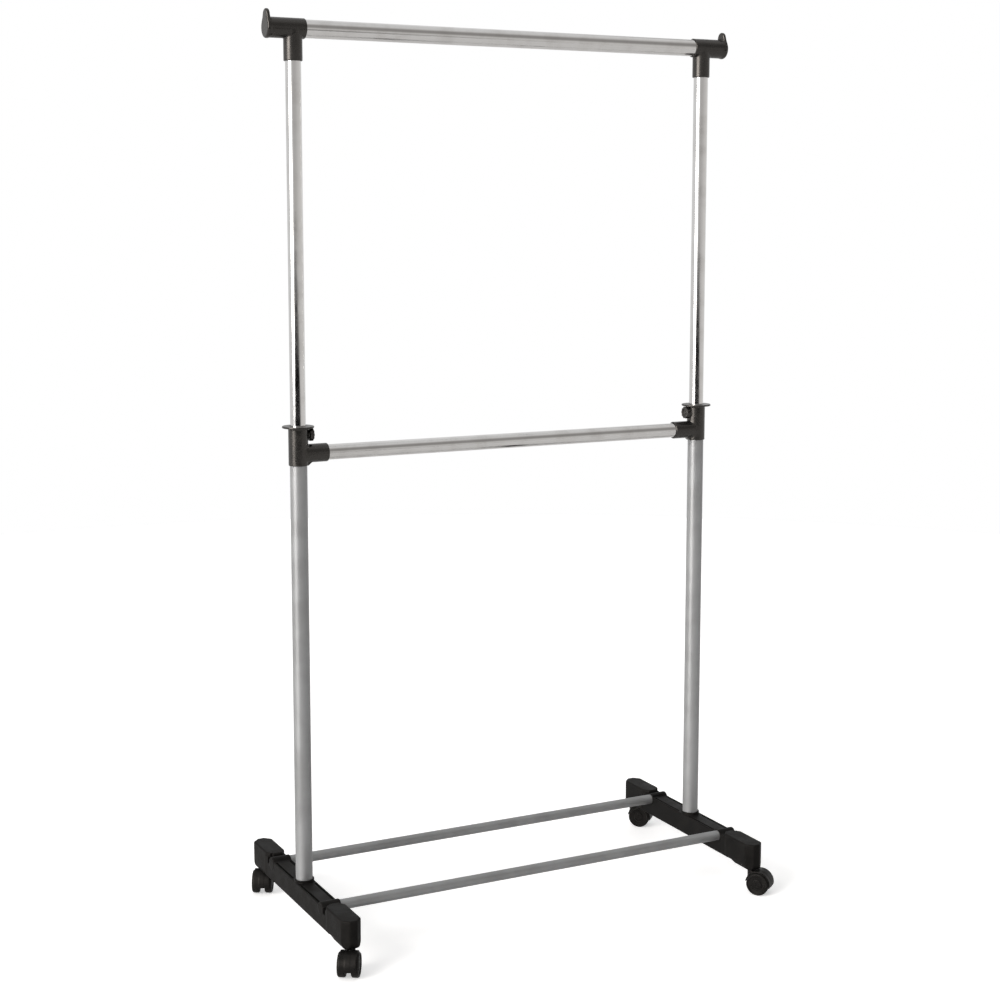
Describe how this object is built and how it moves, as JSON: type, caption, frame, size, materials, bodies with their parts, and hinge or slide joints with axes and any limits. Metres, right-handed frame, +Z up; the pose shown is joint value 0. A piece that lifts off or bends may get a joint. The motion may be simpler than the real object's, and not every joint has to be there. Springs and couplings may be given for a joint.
{
  "type": "rolling clothes rack",
  "caption": "Free-standing garment rack on swivel castors: telescoping chrome upper frame with a top hanging rail, a lower hanging rail, painted posts, shoe rails and moulded feet.",
  "frame": {"origin": "on the floor, midway between the axes of the two posts", "axes": "+Z up along the posts, +X to the rack's right seen from its front, +Y from the front to the back"},
  "size_m": [0.852, 0.4536, 1.498],
  "materials": {
    "black_plastic": "moulded, fine satin grain, charcoal black",
    "wheel_plastic": "moulded nylon, slightly glossy black",
    "grey_paint": "satin silver-grey powder coat",
    "chrome": "bright chrome plate",
    "steel": "zinc-plated hardware",
    "nylon": "natural nylon"
  },
  "bodies": {
    "base": {"left_foot": "black_plastic", "left_post_plug": "nylon", "left_post_bolt": "steel", "front_left_rail_screw": "steel", "back_left_rail_screw": "steel", "left_lower_post": "grey_paint", "left_collar": "black_plastic", "left_clamp_nut": "steel", "right_foot": "black_plastic", "right_post_plug": "nylon", "right_post_bolt": "steel", "front_right_rail_screw": "steel", "back_right_rail_screw": "steel", "right_lower_post": "grey_paint", "right_collar": "black_plastic", "right_clamp_nut": "steel", "front_shoe_rail": "grey_paint", "back_shoe_rail": "grey_paint", "mid_rail": "chrome", "front_left_castor_stem": "steel", "back_left_castor_stem": "steel", "front_right_castor_stem": "steel", "back_right_castor_stem": "steel"},
    "upper_frame": {"left_upper_post": "chrome", "left_guide_bush": "nylon", "left_top_connector": "black_plastic", "right_upper_post": "chrome", "right_guide_bush": "nylon", "right_top_connector": "black_plastic", "top_rail": "chrome"},
    "left_clamp": {"left_clamp_knob": "black_plastic", "left_clamp_stud": "steel"},
    "right_clamp": {"right_clamp_knob": "black_plastic", "right_clamp_stud": "steel"},
    "front_left_castor": {"front_left_castor_hood": "black_plastic", "front_left_castor_axle": "steel"},
    "front_left_wheel_a": {"front_left_wheel_a": "wheel_plastic"},
    "front_left_wheel_b": {"front_left_wheel_b": "wheel_plastic"},
    "back_left_castor": {"back_left_castor_hood": "black_plastic", "back_left_castor_axle": "steel"},
    "back_left_wheel_a": {"back_left_wheel_a": "wheel_plastic"},
    "back_left_wheel_b": {"back_left_wheel_b": "wheel_plastic"},
    "front_right_castor": {"front_right_castor_hood": "black_plastic", "front_right_castor_axle": "steel"},
    "front_right_wheel_a": {"front_right_wheel_a": "wheel_plastic"},
    "front_right_wheel_b": {"front_right_wheel_b": "wheel_plastic"},
    "back_right_castor": {"back_right_castor_hood": "black_plastic", "back_right_castor_axle": "steel"},
    "back_right_wheel_a": {"back_right_wheel_a": "wheel_plastic"},
    "back_right_wheel_b": {"back_right_wheel_b": "wheel_plastic"}
  },
  "joints": [
    {"name": "upper_frame_slide", "type": "slide", "parent": "base", "child": "upper_frame", "axis": [0, 0, 1], "range_m": [-0.55, 0.03]},
    {"name": "left_clamp_turn", "type": "hinge", "parent": "base", "child": "left_clamp", "pos_m": [-0.38, 0, 0.829], "axis": [1, 0, 0], "range_deg": [0, 360]},
    {"name": "right_clamp_turn", "type": "hinge", "parent": "base", "child": "right_clamp", "pos_m": [0.38, 0, 0.829], "axis": [-1, 0, 0], "range_deg": [0, 360]},
    {"name": "front_left_swivel", "type": "hinge", "parent": "base", "child": "front_left_castor", "pos_m": [-0.38, -0.2, 0.041], "axis": [0, 0, 1], "continuous": true},
    {"name": "front_left_wheel_a_spin", "type": "hinge", "parent": "front_left_castor", "child": "front_left_wheel_a", "pos_m": [-0.38742, -0.21187, 0.0198], "axis": [0.848, -0.5299, 0], "continuous": true},
    {"name": "front_left_wheel_b_spin", "type": "hinge", "parent": "front_left_castor", "child": "front_left_wheel_b", "pos_m": [-0.38742, -0.21187, 0.0198], "axis": [0.848, -0.5299, 0], "continuous": true},
    {"name": "back_left_swivel", "type": "hinge", "parent": "base", "child": "back_left_castor", "pos_m": [-0.38, 0.2, 0.041], "axis": [0, 0, 1], "continuous": true},
    {"name": "back_left_wheel_a_spin", "type": "hinge", "parent": "back_left_castor", "child": "back_left_wheel_a", "pos_m": [-0.38657, 0.18764, 0.0198], "axis": [0.8829, -0.4695, 0], "continuous": true},
    {"name": "back_left_wheel_b_spin", "type": "hinge", "parent": "back_left_castor", "child": "back_left_wheel_b", "pos_m": [-0.38657, 0.18764, 0.0198], "axis": [0.8829, -0.4695, 0], "continuous": true},
    {"name": "front_right_swivel", "type": "hinge", "parent": "base", "child": "front_right_castor", "pos_m": [0.38, -0.2, 0.041], "axis": [0, 0, 1], "continuous": true},
    {"name": "front_right_wheel_a_spin", "type": "hinge", "parent": "front_right_castor", "child": "front_right_wheel_a", "pos_m": [0.38862, -0.21103, 0.0198], "axis": [0.788, 0.6157, 0], "continuous": true},
    {"name": "front_right_wheel_b_spin", "type": "hinge", "parent": "front_right_castor", "child": "front_right_wheel_b", "pos_m": [0.38862, -0.21103, 0.0198], "axis": [0.788, 0.6157, 0], "continuous": true},
    {"name": "back_right_swivel", "type": "hinge", "parent": "base", "child": "back_right_castor", "pos_m": [0.38, 0.2, 0.041], "axis": [0, 0, 1], "continuous": true},
    {"name": "back_right_wheel_a_spin", "type": "hinge", "parent": "back_right_castor", "child": "back_right_wheel_a", "pos_m": [0.3899, 0.1901, 0.0198], "axis": [0.7071, 0.7071, 0], "continuous": true},
    {"name": "back_right_wheel_b_spin", "type": "hinge", "parent": "back_right_castor", "child": "back_right_wheel_b", "pos_m": [0.3899, 0.1901, 0.0198], "axis": [0.7071, 0.7071, 0], "continuous": true}
  ]
}
